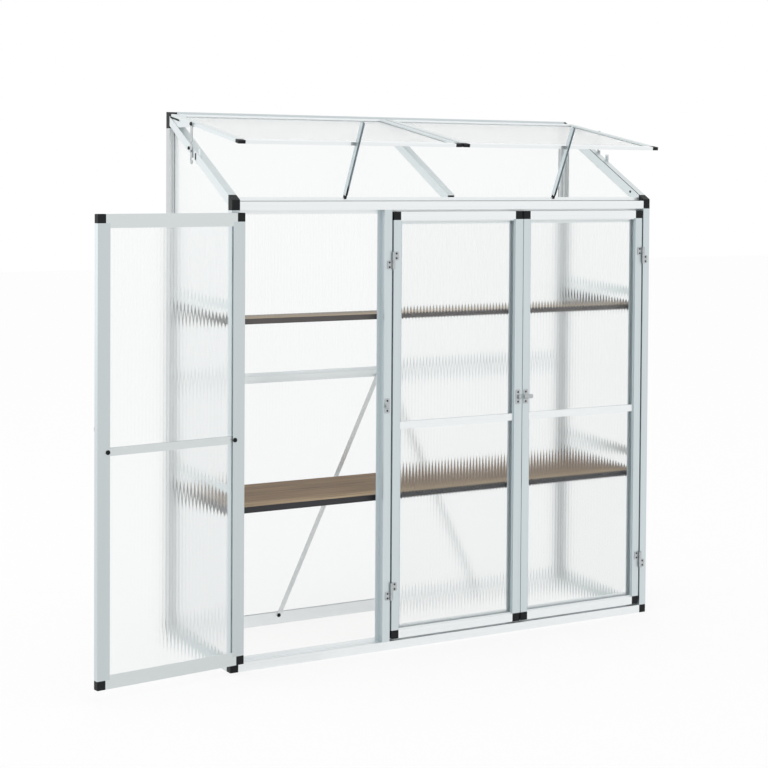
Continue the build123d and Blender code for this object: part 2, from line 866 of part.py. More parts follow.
prop_places = tuple(sum(span) / 2 + prop_offset for span in vent_spans)
foot_y = front_inner - stop_wall / 2
foot_z = eave_height + stop_reach
pin_out = vent_length + prop_rail_gap + prop_depth / 2
pin_y = hinge_y - pin_out * cos(radians(vent_slope))
pin_z = hinge_z - pin_out * sin(radians(vent_slope))
prop_lean = degrees(atan((foot_y - pin_y) / (pin_z - foot_z)))
prop_reach = hypot(foot_y - pin_y, pin_z - foot_z)
prop_inner_width = prop_width - 2 * prop_wall


def prop_placed(solid, x):
    """A prop piece, drawn upright from its foot, leaned and set on the lip."""
    return Pos(x, foot_y, foot_z) * Rot(prop_lean, 0, 0) * solid


def prop_bar(x):
    """A channel open to the front, bored for its pin."""
    section = Rectangle(prop_width, prop_depth)
    section -= Pos(0, -prop_wall) * Rectangle(prop_inner_width, prop_depth)
    bar = run("z", prop_foot_reach, prop_reach + prop_tail, (0, 0), section)
    bore = Circle(prop_pin_radius + prop_pin_clearance)
    return prop_placed(bar - run("x", -prop_width, prop_width, (0, prop_reach), bore), x)


def prop_foot(x):
    """A plug in the channel's lower end, slotted to sit on the lip."""
    section = Rectangle(prop_inner_width, prop_depth - 2 * prop_wall)
    foot = prop_placed(run("z", -prop_foot_seat, prop_foot_reach + prop_foot_plug, (0, 0), section), x)
    half_slot = stop_wall / 2 + prop_foot_clearance
    return foot - block(
        (x - prop_width, x + prop_width),
        (foot_y - half_slot, foot_y + half_slot),
        (foot_z - prop_depth, foot_z),
    )


def prop_bracket(x):
    """A plate on the vent's free edge, with a lug beside the prop and the prop's pin."""
    lug_x = x - prop_width / 2 - prop_lug_gap
    half = vent_thickness / 2
    z_span = (-half, half)
    plate = block(
        (lug_x - prop_plate_width, lug_x), (-vent_length - prop_lug_wall, -vent_length), z_span
    )
    plate += block((lug_x - prop_lug_wall, lug_x), (-pin_out - half, -vent_length), z_span)
    pin_end = x + prop_width / 2 + prop_lug_wall
    pin = run("x", lug_x - prop_lug_wall, pin_end, (-pin_out, 0), Circle(prop_pin_radius))
    return vent_placed(plate + pin)


save("vent_props", *[prop_bar(x) for x in prop_places])
save("vent_prop_feet", *[prop_foot(x) for x in prop_places])
save("vent_prop_brackets", *[prop_bracket(x) for x in prop_places])


# Notched stays on the outer edges, hung from the vents and hooked on pins in the rafters

stay_reach = vent_length * stay_place_share
stay_y = hinge_y - stay_reach * cos(radians(vent_slope))
stay_z = hinge_z - stay_reach * sin(radians(vent_slope))
stay_hook_z = roof_z(stay_y) - rafter_drop / 2
stay_length = stay_z - stay_hook_z + stay_tail


def vent_stay(x_way):
    """A flat hanging bar with a pivot hole and hook notches in its front edge."""
    half = stay_width / 2
    hole = stay_pin_radius + stay_pin_clearance
    outline = Pos(stay_y, stay_z - stay_length / 2) * Rot(0, 0, 90) * SlotCenterToCenter(
        stay_length, stay_width
    )
    outline -= Pos(stay_y, stay_z) * Circle(hole)
    for number in range(stay_notches):
        z = stay_hook_z - (number - 1) * stay_notch_pitch
        outline -= Pos(stay_y, z) * Circle(hole)
        outline -= Pos(stay_y - half / 2, z) * Rectangle(half, 2 * hole)
    gap = right + stay_gap
    low = gap if x_way > 0 else -gap - stay_thickness
    return side_slab(outline, low, low + stay_thickness)


def stay_pins(x_way):
    """The pivot pin in the vent's edge and the hook pin in the rafter."""
    start, end = sorted((x_way * right, x_way * (right + stay_pin_reach)))
    return [
        run("x", start, end, (stay_y, z), Circle(stay_pin_radius)) for z in (stay_z, stay_hook_z)
    ]


save("vent_stays", *[vent_stay(x_way) for x_way in ways])
save("vent_stay_pins", *[pin for x_way in ways for pin in stay_pins(x_way)])
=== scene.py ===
"""Lean-to greenhouse of aluminium tube and twin-wall sheet: finishes, small fittings and studio."""

import json
import logging
import math
from collections.abc import Iterable
from dataclasses import dataclass, field
from enum import Enum

import bmesh
import bpy
from mathutils import Matrix, Vector


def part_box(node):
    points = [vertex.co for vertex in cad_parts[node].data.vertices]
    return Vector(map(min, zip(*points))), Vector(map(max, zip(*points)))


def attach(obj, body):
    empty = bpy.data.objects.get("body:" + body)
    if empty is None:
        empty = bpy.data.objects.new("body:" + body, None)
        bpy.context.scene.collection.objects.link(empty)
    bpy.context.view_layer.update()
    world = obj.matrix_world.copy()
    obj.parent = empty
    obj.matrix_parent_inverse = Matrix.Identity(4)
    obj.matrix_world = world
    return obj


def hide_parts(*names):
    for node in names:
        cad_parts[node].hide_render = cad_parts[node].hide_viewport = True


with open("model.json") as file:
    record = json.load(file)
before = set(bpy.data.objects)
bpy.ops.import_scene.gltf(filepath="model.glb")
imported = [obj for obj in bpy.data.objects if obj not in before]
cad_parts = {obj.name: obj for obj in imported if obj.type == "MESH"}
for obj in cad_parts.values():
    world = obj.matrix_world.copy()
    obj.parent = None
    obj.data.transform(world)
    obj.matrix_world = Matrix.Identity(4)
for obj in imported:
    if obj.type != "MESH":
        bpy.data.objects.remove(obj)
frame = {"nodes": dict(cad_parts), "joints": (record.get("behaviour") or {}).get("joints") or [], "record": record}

log = logging.getLogger("greenhouse")

MM = 0.001
UP = Vector((0.0, 0.0, 1.0))
FORWARD = Vector((0.0, -1.0, 0.0))
RIGHTWARD = Vector((1.0, 0.0, 0.0))
# Period of the wave texture's bands at a scale of one
WAVE_PERIOD = math.tau / 20
# Corners of a node that are closer than this are one corner
WELD = 0.01 * MM


def linear(hex_colour: str) -> tuple[float, float, float, float]:
    """Turn an sRGB hex colour into linear light.

    Args:
        hex_colour: Six hex digits after a hash sign.

    Returns:
        Linear red, green and blue, with an alpha of one.
    """
    channels = [int(hex_colour[start : start + 2], 16) / 255 for start in (1, 3, 5)]
    red, green, blue = [c / 12.92 if c <= 0.04045 else ((c + 0.055) / 1.055) ** 2.4 for c in channels]
    return red, green, blue, 1.0


def add_node(tree: bpy.types.NodeTree, kind: str, inputs: dict | None = None, **settings) -> bpy.types.Node:
    """Add a shader node with its settings, its values and its links.

    Args:
        tree: The node tree that gets the node.
        kind: The node's type name.
        inputs: Input name or number, to a socket to link or a value to set.
        settings: Attributes of the node.

    Returns:
        The new node.
    """
    node = tree.nodes.new(kind)
    for key, value in settings.items():
        setattr(node, key, value)
    for key, value in (inputs or {}).items():
        if isinstance(value, bpy.types.NodeSocket):
            tree.links.new(value, node.inputs[key])
        else:
            node.inputs[key].default_value = value
    return node


def per_metre(size_mm: float) -> float:
    """The texture scale whose features are about this many millimetres across."""
    return 1.0 / (size_mm * MM)


class Run(Enum):
    """The axis that an extrusion or a board's grain runs along."""

    ACROSS = 0
    DEEP = 1
    UPRIGHT = 2


@dataclass(frozen=True)
class Finish:
    """A surface finish, whose material is made once."""

    name: str
    slot: str

    def material(self) -> bpy.types.Material:
        """Make the finish's material, or find the one made before.

        Returns:
            The material.
        """
        found = bpy.data.materials.get(self.name)
        if found:
            return found
        made = bpy.data.materials.new(self.name)
        made.use_nodes = True
        made.node_tree.nodes.clear()
        surface = self.shade(made.node_tree)
        add_node(made.node_tree, "ShaderNodeOutputMaterial", {"Surface": surface})
        return made

    def shade(self, tree: bpy.types.NodeTree) -> bpy.types.NodeSocket:
        """The shader socket of the finish, which each finish makes in its own way."""
        raise NotImplementedError


def grained_skin(
    tree: bpy.types.NodeTree, finish: Finish, tone: bpy.types.NodeSocket, grain: bpy.types.NodeSocket
) -> bpy.types.NodeSocket:
    """A skin whose gloss and relief both follow one grain.

    Args:
        tree: The material's node tree.
        finish: The finish that gives the gloss and the relief.
        tone: The colour's socket.
        grain: The grain's socket.

    Returns:
        The shader socket.
    """
    smooth, rough = finish.roughness
    gloss = add_node(tree, "ShaderNodeMapRange", {"Value": grain, "To Min": smooth, "To Max": rough})
    relief = add_node(
        tree,
        "ShaderNodeBump",
        {"Strength": finish.relief_strength, "Distance": finish.relief_mm * MM, "Height": grain},
    )
    skin = add_node(
        tree,
        "ShaderNodeBsdfPrincipled",
        {
            "Base Color": tone,
            "Metallic": finish.metallic,
            "Roughness": gloss.outputs["Result"],
            "Specular IOR Level": finish.specular,
            "Normal": relief.outputs["Normal"],
        },
    )
    return skin.outputs["BSDF"]


@dataclass(frozen=True)
class SatinAluminium(Finish):
    """Extruded aluminium with a satin anodised skin: pale silver, with faint lines along each bar."""

    run: Run
    colour: str
    line_colour: str
    line_mm: float = 2.2
    line_length_mm: float = 420.0
    metallic: float = 0.82
    specular: float = 0.5
    roughness: tuple[float, float] = (0.30, 0.40)
    relief_mm: float = 0.02
    relief_strength: float = 0.3
    # Faces that look this way take a darker colour, painted shade; a length of zero means none do
    painted_shade_way: tuple[float, float, float] = (0.0, 0.0, 0.0)
    painted_shade_span: tuple[float, float] = (0.4, 0.6)
    painted_shade_colour: str = "#CACDCE"

    def shade(self, tree: bpy.types.NodeTree) -> bpy.types.NodeSocket:
        """Die lines along the bar vary its tone and its gloss a little, and one side may take a darker colour,
        painted shade.

        Args:
            tree: The material's node tree.

        Returns:
            The shader socket.
        """
        # Real die lines are finer than a pixel here, so they are drawn coarser to show at all
        scale = [per_metre(self.line_mm)] * 3
        scale[self.run.value] = per_metre(self.line_length_mm)
        here = add_node(tree, "ShaderNodeTexCoord")
        place = add_node(tree, "ShaderNodeMapping", {"Vector": here.outputs["Object"], "Scale": scale})
        lines = add_node(
            tree, "ShaderNodeTexNoise", {"Vector": place.outputs["Vector"], "Scale": 1.0, "Detail": 3.0}
        )
        tone = add_node(
            tree,
            "ShaderNodeMixRGB",
            {0: lines.outputs["Fac"], 1: linear(self.colour), 2: linear(self.line_colour)},
        )
        # Painted shade: faces that look the given way are mixed towards a darker colour
        facing = add_node(
            tree,
            "ShaderNodeVectorMath",
            {0: here.outputs["Normal"], 1: self.painted_shade_way},
            operation="DOT_PRODUCT",
        )
        start, end = self.painted_shade_span
        shade_mask = add_node(
            tree,
            "ShaderNodeMapRange",
            {"Value": facing.outputs["Value"], "From Min": start, "From Max": end},
        )
        tone = add_node(
            tree,
            "ShaderNodeMixRGB",
            {0: shade_mask.outputs["Result"], 1: tone.outputs["Color"], 2: linear(self.painted_shade_colour)},
        )
        return grained_skin(tree, self, tone.outputs["Color"], lines.outputs["Fac"])


@dataclass(frozen=True)
class TwinWallPolycarbonate(Finish):
    """Extruded twin-wall polycarbonate: clear but wavy, so each rib draws what is behind it up or down."""

    colour: str = "#FBFCFC"
    pitch_mm: float = 11.5
    transmission: float = 0.99
    # A hollow sheet bends and mirrors the light less than solid polycarbonate
    ior: float = 1.25
    wave_deg: float = 5.5
    roughness: tuple[float, float] = (0.16, 0.26)
    pass_share: float = 0.94

    def shade(self, tree: bpy.types.NodeTree) -> bpy.types.NodeSocket:
        """Ribs blur what is behind them more than the clear strips between do.

        Args:
            tree: The material's node tree.

        Returns:
            The shader socket.
        """
        spot = add_node(tree, "ShaderNodeUVMap", uv_map="sheet").outputs["UV"]
        ribs = add_node(
            tree,
            "ShaderNodeTexWave",
            {"Vector": spot, "Scale": WAVE_PERIOD * per_metre(self.pitch_mm)},
            wave_type="BANDS",
            bands_direction="X",
        )
        blur = add_node(
            tree,
            "ShaderNodeMapRange",
            {"Value": ribs.outputs["Fac"], "To Min": self.roughness[1], "To Max": self.roughness[0]},
        )
        # The walls between two ribs are a little wavy, which tilts the view up and down in turn
        tilt = math.tan(math.radians(self.wave_deg)) / 2
        lean = add_node(
            tree,
            "ShaderNodeMapRange",
            {"Value": ribs.outputs["Fac"], "To Min": 0.5 - tilt, "To Max": 0.5 + tilt},
        )
        slant = add_node(
            tree, "ShaderNodeCombineColor", {"Red": 0.5, "Green": lean.outputs["Result"], "Blue": 1.0}
        )
        wavy = add_node(tree, "ShaderNodeNormalMap", {"Color": slant.outputs["Color"]}, uv_map="sheet")
        skin = add_node(
            tree,
            "ShaderNodeBsdfPrincipled",
            {
                "Base Color": linear(self.colour),
                "Roughness": blur.outputs["Result"],
                "IOR": self.ior,
                "Transmission Weight": self.transmission,
                "Normal": wavy.outputs["Normal"],
            },
        )
        # Light passes on into the greenhouse, so the sheet casts only a faint shadow
        path = add_node(tree, "ShaderNodeLightPath")
        mirrored = add_node(
            tree,
            "ShaderNodeMath",
            {0: path.outputs["Is Glossy Ray"], 1: path.outputs["Is Transmission Ray"]},
            operation="SUBTRACT",
            use_clamp=True,
        )
        bounced = add_node(
            tree,
            "ShaderNodeMath",
            {0: path.outputs["Is Diffuse Ray"], 1: mirrored.outputs["Value"]},
            operation="MAXIMUM",
        )
        light = add_node(
            tree,
            "ShaderNodeMath",
            {0: path.outputs["Is Shadow Ray"], 1: bounced.outputs["Value"]},
            operation="MAXIMUM",
        )
        faint = add_node(
            tree, "ShaderNodeMath", {0: light.outputs["Value"], 1: self.pass_share}, operation="MULTIPLY"
        )
        clear = add_node(tree, "ShaderNodeBsdfTransparent", {"Color": linear(self.colour)})
        both = add_node(
            tree,
            "ShaderNodeMixShader",
            {0: faint.outputs["Value"], 1: skin.outputs["BSDF"], 2: clear.outputs["BSDF"]},
        )
        return both.outputs["Shader"]


@dataclass(frozen=True)
class Moulded(Finish):
    """A plain solid colour with a fine grain: moulded plastic, rubber or paint."""

    colour: str
    worn_colour: str
    grain_mm: float = 1.2
    cloud_mm: float = 60.0
    metallic: float = 0.0
    specular: float = 0.5
    roughness: tuple[float, float] = (0.40, 0.52)
    relief_mm: float = 0.05
    relief_strength: float = 0.4

    def shade(self, tree: bpy.types.NodeTree) -> bpy.types.NodeSocket:
        """A spark-eroded grain breaks the gloss, over slow clouds of tone.

        Args:
            tree: The material's node tree.

        Returns:
            The shader socket.
        """
        spot = add_node(tree, "ShaderNodeTexCoord").outputs["Object"]
        grain = add_node(
            tree, "ShaderNodeTexNoise", {"Vector": spot, "Scale": per_metre(self.grain_mm), "Detail": 2.0}
        )
        cloud = add_node(
            tree, "ShaderNodeTexNoise", {"Vector": spot, "Scale": per_metre(self.cloud_mm), "Detail": 4.0}
        )
        tone = add_node(
            tree,
            "ShaderNodeMixRGB",
            {0: cloud.outputs["Fac"], 1: linear(self.colour), 2: linear(self.worn_colour)},
        )
        return grained_skin(tree, self, tone.outputs["Color"], grain.outputs["Fac"])


@dataclass(frozen=True)
class WoodGrainBoard(Finish):
    """Board faced with brown wood-grain foil: matt, with long streaks, paler towards the front edge."""

    colour: str = "#7A624A"
    streak_colour: str = "#523E2E"
    pale_colour: str = "#977D5C"
    front_edge_colour: str = "#BBA27E"
    front_edge_span_mm: tuple[float, float] = (-315.0, -385.0)
    front_edge_share: float = 0.85
    grain_mm: float = 5.0
    grain_length_mm: float = 260.0
    band_mm: float = 60.0
    band_stretch: float = 3.0
    streak_span: tuple[float, float] = (0.42, 0.68)
    streak_share: float = 0.8
    metallic: float = 0.0
    specular: float = 0.25
    roughness: tuple[float, float] = (0.5, 0.66)
    relief_mm: float = 0.15
    relief_strength: float = 0.4

    def shade(self, tree: bpy.types.NodeTree) -> bpy.types.NodeSocket:
        """Fine dark streaks over broad pale bands, which pale further near the front edge.

        Args:
            tree: The material's node tree.

        Returns:
            The shader socket.
        """
        spot = add_node(tree, "ShaderNodeTexCoord").outputs["Object"]
        long_way = per_metre(self.grain_length_mm)
        fine_way = per_metre(self.grain_mm)
        broad_way = per_metre(self.band_mm)
        fine = add_node(
            tree, "ShaderNodeMapping", {"Vector": spot, "Scale": (long_way, fine_way, fine_way)}
        )
        broad = add_node(
            tree,
            "ShaderNodeMapping",
            {"Vector": spot, "Scale": (long_way / self.band_stretch, broad_way, broad_way)},
        )
        streaks = add_node(
            tree,
            "ShaderNodeTexNoise",
            {"Vector": fine.outputs["Vector"], "Scale": 1.0, "Detail": 6.0, "Distortion": 0.6},
        )
        bands = add_node(
            tree, "ShaderNodeTexNoise", {"Vector": broad.outputs["Vector"], "Scale": 1.0, "Detail": 2.0}
        )
        faint, full = self.streak_span
        sharp = add_node(
            tree,
            "ShaderNodeMapRange",
            {
                "Value": streaks.outputs["Fac"],
                "From Min": faint,
                "From Max": full,
                "To Max": self.streak_share,
            },
        )
        ground = add_node(
            tree,
            "ShaderNodeMixRGB",
            {0: bands.outputs["Fac"], 1: linear(self.colour), 2: linear(self.pale_colour)},
        )
        # Paler towards the front edge of the board
        depth = add_node(tree, "ShaderNodeSeparateXYZ", {"Vector": spot})
        start, end = [mm * MM for mm in self.front_edge_span_mm]
        front_edge_mask = add_node(
            tree,
            "ShaderNodeMapRange",
            {
                "Value": depth.outputs["Y"],
                "From Min": start,
                "From Max": end,
                "To Max": self.front_edge_share,
            },
        )
        paled_ground = add_node(
            tree,
            "ShaderNodeMixRGB",
            {0: front_edge_mask.outputs["Result"], 1: ground.outputs["Color"], 2: linear(self.front_edge_colour)},
        )
        tone = add_node(
            tree,
            "ShaderNodeMixRGB",
            {0: sharp.outputs["Result"], 1: paled_ground.outputs["Color"], 2: linear(self.streak_colour)},
        )
        return grained_skin(tree, self, tone.outputs["Color"], streaks.outputs["Fac"])


@dataclass(frozen=True)
class StudioFloor(Finish):
    """A pale floor that looks white to the eye and keeps a soft shadow."""

    colour: str = "#FFFFFF"
    glow_share: float = 0.82

    def shade(self, tree: bpy.types.NodeTree) -> bpy.types.NodeSocket:
        """What looks straight at the floor sees a share of plain white.

        Args:
            tree: The material's node tree.

        Returns:
            The shader socket.
        """
        seen = looking(tree)
        share = add_node(tree, "ShaderNodeMath", {0: seen, 1: self.glow_share}, operation="MULTIPLY")
        matt = add_node(tree, "ShaderNodeBsdfDiffuse", {"Color": linear(self.colour)})
        glow = add_node(tree, "ShaderNodeEmission", {"Strength": 1.0})
        both = add_node(
            tree,
            "ShaderNodeMixShader",
            {0: share.outputs["Value"], 1: matt.outputs["BSDF"], 2: glow.outputs["Emission"]},
        )
        return both.outputs["Shader"]


def looking(tree: bpy.types.NodeTree) -> bpy.types.NodeSocket:
    """A socket that is one where the eye, a gloss or a clear sheet looks at the background.

    Args:
        tree: The node tree that gets the nodes.

    Returns:
        The socket.
    """
    path = add_node(tree, "ShaderNodeLightPath")
    straight = add_node(
        tree,
        "ShaderNodeMath",
        {0: path.outputs["Is Camera Ray"], 1: path.outputs["Is Glossy Ray"]},
        operation="MAXIMUM",
    )
    through = add_node(
        tree,
        "ShaderNodeMath",
        {0: straight.outputs["Value"], 1: path.outputs["Is Transmission Ray"]},
        operation="MAXIMUM",
    )
    return through.outputs["Value"]


# Painted light from above: bars that lie across get a paler base colour than uprights, and bars that run deep one
# in between
ALUMINIUM = {
    run: SatinAluminium(f"satin_aluminium_{run.name.lower()}", "aluminium", run, colour, line_colour)
    for run, colour, line_colour in (
        (Run.ACROSS, "#F6F9FA", "#EDF1F2"),
        (Run.DEEP, "#E0E6E7", "#D5DCDD"),
        (Run.UPRIGHT, "#D6DFE2", "#CCD5D8"),
    )
}
# Door bars: the inner side, which the open left door turns to the front, takes a darker colour, which is painted
# shade
DOOR_BARS = {
    (door, run): SatinAluminium(
        f"satin_aluminium_{door}_door_{run.name.lower()}",
        "aluminium",
        run,
        ALUMINIUM[run].colour,
        ALUMINIUM[run].line_colour,
        painted_shade_way=(0.0, inner_y, 0.0),
        painted_shade_colour=painted_shade_colour,
    )
    for door, inner_y in (("left", -1.0), ("middle", 1.0), ("right", 1.0))
    for run, painted_shade_colour in ((Run.ACROSS, "#D8DEDE"), (Run.UPRIGHT, "#CBD3D5"))
}
# Rear uprights: the same bars with a paler and more matt skin, which is painted light, and painted shade on the
# left-hand side
REAR_ALUMINIUM = SatinAluminium(
    "satin_aluminium_rear",
    "aluminium",
    Run.UPRIGHT,
    "#F2F5F6",
    "#EAEFF0",
    metallic=0.4,
    painted_shade_way=(-1.0, 0.0, 0.0),
)
# Ridge: a darker base colour, which is painted shade
RIDGE_SHADE_ALUMINIUM = SatinAluminium("satin_aluminium_dull", "aluminium", Run.ACROSS, "#D9E0E2", "#CED6D8")
SHEET = TwinWallPolycarbonate("twin_wall_polycarbonate", "twin_wall_sheet")
# Moulded nylon: near black, with a soft sheen on its bevels
BLACK_NYLON = Moulded("moulded_black_nylon", "black_plastic", "#131517", "#1B1E20", specular=0.2)
# Grey strip that paints the shade line at the base of the eave's lip: mid grey and quite matt
GREY_SHADE_LINE = Moulded(
    "grey_rubber_seal", "black_plastic", "#888C8E", "#979B9D", specular=0.2, roughness=(0.55, 0.68)
)
# Powder-coated steel: black with a light orange-peel skin
BLACK_STEEL = Moulded(
    "powder_coated_black_steel", "black_metal", "#17181A", "#222426", grain_mm=2.5, roughness=(0.34, 0.44)
)
# Edge band on the boards: charcoal, smoother than the foil
EDGE_BAND = Moulded(
    "charcoal_edge_band", "shelf_board", "#1C1D21", "#27282C", grain_mm=3.0, roughness=(0.38, 0.5)
)
BOARD = WoodGrainBoard("wood_grain_foil_board", "shelf_board")
# The upper board stands nearer the roof, so its foil and its edge have faded to grey
FADED_BOARD = WoodGrainBoard("faded_wood_grain_foil_board", "shelf_board", "#978E84", "#746B64", "#A1988E")
FADED_BAND = Moulded(
    "faded_edge_band", "shelf_board", "#4A4645", "#585452", grain_mm=3.0, roughness=(0.38, 0.5)
)
# Zinc-plated steel: brighter and bluer than the frame, with cloudy spangles
ZINC = Moulded(
    "zinc_plated_steel",
    "fittings",
    "#CBCFD0",
    "#A6ABAD",
    grain_mm=1.5,
    cloud_mm=9.0,
    metallic=1.0,
    roughness=(0.22, 0.34),
    relief_mm=0.02,
)
FLOOR = StudioFloor("pale_studio_floor", "")


@dataclass
class Piece:
    """A joined mesh that rides on one body and takes one finish."""

    name: str
    body: str
    finish: Finish
    mesh: bmesh.types.BMesh = field(default_factory=bmesh.new)
    sharp_angle: float = math.radians(32)

    def place(self, *replaced: str) -> bpy.types.Object:
        """Turn the mesh into an object on its body.

        Args:
            replaced: CAD nodes that the piece stands for.

        Returns:
            The new object.
        """
        bmesh.ops.recalc_face_normals(self.mesh, faces=self.mesh.faces)
        data = bpy.data.meshes.new(self.name)
        self.mesh.to_mesh(data)
        self.mesh.free()
        data.polygons.foreach_set("use_smooth", [True] * len(data.polygons))
        data.set_sharp_from_angle(angle=self.sharp_angle)
        data.materials.append(self.finish.material())
        made = bpy.data.objects.new(self.name, data)
        bpy.context.scene.collection.objects.link(made)
        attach(made, self.body)
        if replaced:
            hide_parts(*replaced)
        log.info("%s: %d faces on %s", self.name, len(data.polygons), self.body)
        return made


def add_strip(
    mesh: bmesh.types.BMesh,
    start: Vector,
    end: Vector,
    out: Vector,
    width: float,
    height: float,
    rounding: float,
    turn: Matrix = Matrix.Identity(4),
) -> None:
    """Add a straight strip with a flat back and rounded outer edges.

    Args:
        mesh: The mesh that gets the strip.
        start: Middle of the back at one end.
        end: Middle of the back at the other end.
        out: Unit direction that the strip stands out in.
        width: Width across the back.
        height: How far the strip stands out.
        rounding: Radius of the outer edges.
        turn: Moves the strip after it is drawn.
    """
    along = (end - start).normalized()
    side = along.cross(out)
    half = width / 2
    steps = 3
    outline = [(-half, 0.0)]
    for sign, angles in ((-1, range(steps + 1)), (1, range(steps, -1, -1))):
        for step in angles:
            angle = math.pi / 2 * step / steps
            across = half - rounding + rounding * math.cos(angle)
            outline.append((sign * across, height - rounding + rounding * math.sin(angle)))
    outline.append((half, 0.0))
    rings = [
        [mesh.verts.new(turn @ (spot + side * across + out * rise)) for across, rise in outline]
        for spot in (start, end)
    ]
    count = len(outline)
    for number in range(count):
        after = (number + 1) % count
        mesh.faces.new((rings[0][number], rings[0][after], rings[1][after], rings[1][number]))
    mesh.faces.new(rings[0])
    mesh.faces.new(rings[1])


def add_plate(
    mesh: bmesh.types.BMesh, outline: Iterable[Vector], out: Vector, thickness: float, chamfer: float
) -> None:
    """Add a flat plate with a chamfered outer face.

    Args:
        mesh: The mesh that gets the plate.
        outline: Corners of the back, in order.
        out: Unit direction that the plate faces.
        thickness: How far the plate stands out.
        chamfer: Width of the chamfer round the outer face.
    """
    corners = list(outline)
    middle = sum(corners, Vector()) / len(corners)
    inward = [(middle - corner).normalized() * chamfer for corner in corners]
    rings = [
        [mesh.verts.new(corner) for corner in corners],
        [mesh.verts.new(corner + out * (thickness - chamfer)) for corner in corners],
        [mesh.verts.new(corner + out * thickness + step) for corner, step in zip(corners, inward)],
    ]
    count = len(corners)
    for low, high in zip(rings, rings[1:]):
        for number in range(count):
            after = (number + 1) % count
            mesh.faces.new((low[number], low[after], high[after], high[number]))
    mesh.faces.new(rings[0])
    mesh.faces.new(rings[-1])


@dataclass(frozen=True)
class CrossHead:
    """A domed screw head with a cross recess."""

    radius: float
    height: float
    sides: int = 24
    recess_share: float = 0.44
    rim_share: float = 0.08
    arm_share: float = 0.1
    pit_share: float = 0.45
    profile: tuple[tuple[float, float], ...] = ((1.0, 0.0), (1.0, 0.25), (0.9, 0.62), (0.66, 0.94))

    def add(
        self, mesh: bmesh.types.BMesh, spot: Vector, out: Vector, turn: Matrix = Matrix.Identity(4)
    ) -> None:
        """Add one head to a mesh.

        Args:
            mesh: The mesh that gets the head.
            spot: Middle of the seat.
            out: Direction that the head faces.
            turn: Moves the head after it is drawn.
        """
        place = turn @ Matrix.Translation(spot) @ out.to_track_quat("Z", "Y").to_matrix().to_4x4()
        many, few = self.sides, self.sides // 2
        first = -math.tau / many

        def ring(radius: float, rise: float, count: int) -> list[bmesh.types.BMVert]:
            """A ring of points round the head's axis."""
            angles = [first + math.tau / count * number for number in range(count)]
            spots = [Vector((radius * math.cos(a), radius * math.sin(a), rise)) for a in angles]
            return [mesh.verts.new(place @ spot) for spot in spots]

        rings = [ring(self.radius * r, self.height * h, many) for r, h in self.profile]
        mesh.faces.new(rings[0])
        for low, high in zip(rings, rings[1:]):
            for number in range(many):
                after = (number + 1) % many
                mesh.faces.new((low[number], low[after], high[after], high[number]))
        top = ring(self.radius * (self.recess_share + self.rim_share), self.height, few)
        for number in range(few):
            after = (number + 1) % few
            near, middle, far = [rings[-1][(2 * number + k) % many] for k in range(3)]
            mesh.faces.new((near, middle, top[number]))
            mesh.faces.new((middle, far, top[after], top[number]))
        arm, reach = self.radius * self.arm_share, self.radius * self.recess_share
        loops = []
        for rise in (self.height, self.height * self.pit_share):
            loop = []
            for quarter in range(4):
                spin = Matrix.Rotation(math.pi / 2 * quarter, 4, "Z")
                for x, y in ((reach, -arm), (reach, arm), (arm, arm)):
                    loop.append(mesh.verts.new(place @ spin @ Vector((x, y, rise))))
            loops.append(loop)
        edge, pit = loops
        for number in range(few):
            after = (number + 1) % few
            mesh.faces.new((top[number], top[after], edge[after], edge[number]))
            mesh.faces.new((edge[number], edge[after], pit[after], pit[number]))
        mesh.faces.new([pit[number] for number in (2, 5, 8, 11)])
        for number in range(0, few, 3):
            mesh.faces.new((pit[number - 1], pit[number], pit[number + 1], pit[number + 2]))


def separate_solids(node: str) -> list[tuple[list[Vector], Vector]]:
    """Split a node of flat slabs into its solids.

    Args:
        node: A CAD node.

    Returns:
        For each solid, its corners and the normal of its largest face.
    """
    mesh = bmesh.new()
    mesh.from_mesh(frame["nodes"][node].data)
    bmesh.ops.remove_doubles(mesh, verts=mesh.verts, dist=WELD)
    waiting = set(mesh.verts)
    solids = []
    while waiting:
        found, edge = set(), {waiting.pop()}
        while edge:
            found |= edge
            edge = {e.other_vert(v) for v in edge for e in v.link_edges} - found
        waiting -= found
        faces = {face for vert in found for face in vert.link_faces}
        largest = max(faces, key=lambda face: face.calc_area())
        solids.append(([vert.co.copy() for vert in found], largest.normal.copy()))
    mesh.free()
    return sorted(solids, key=lambda solid: tuple(round(c, 4) for c in min(solid[0], key=tuple)))


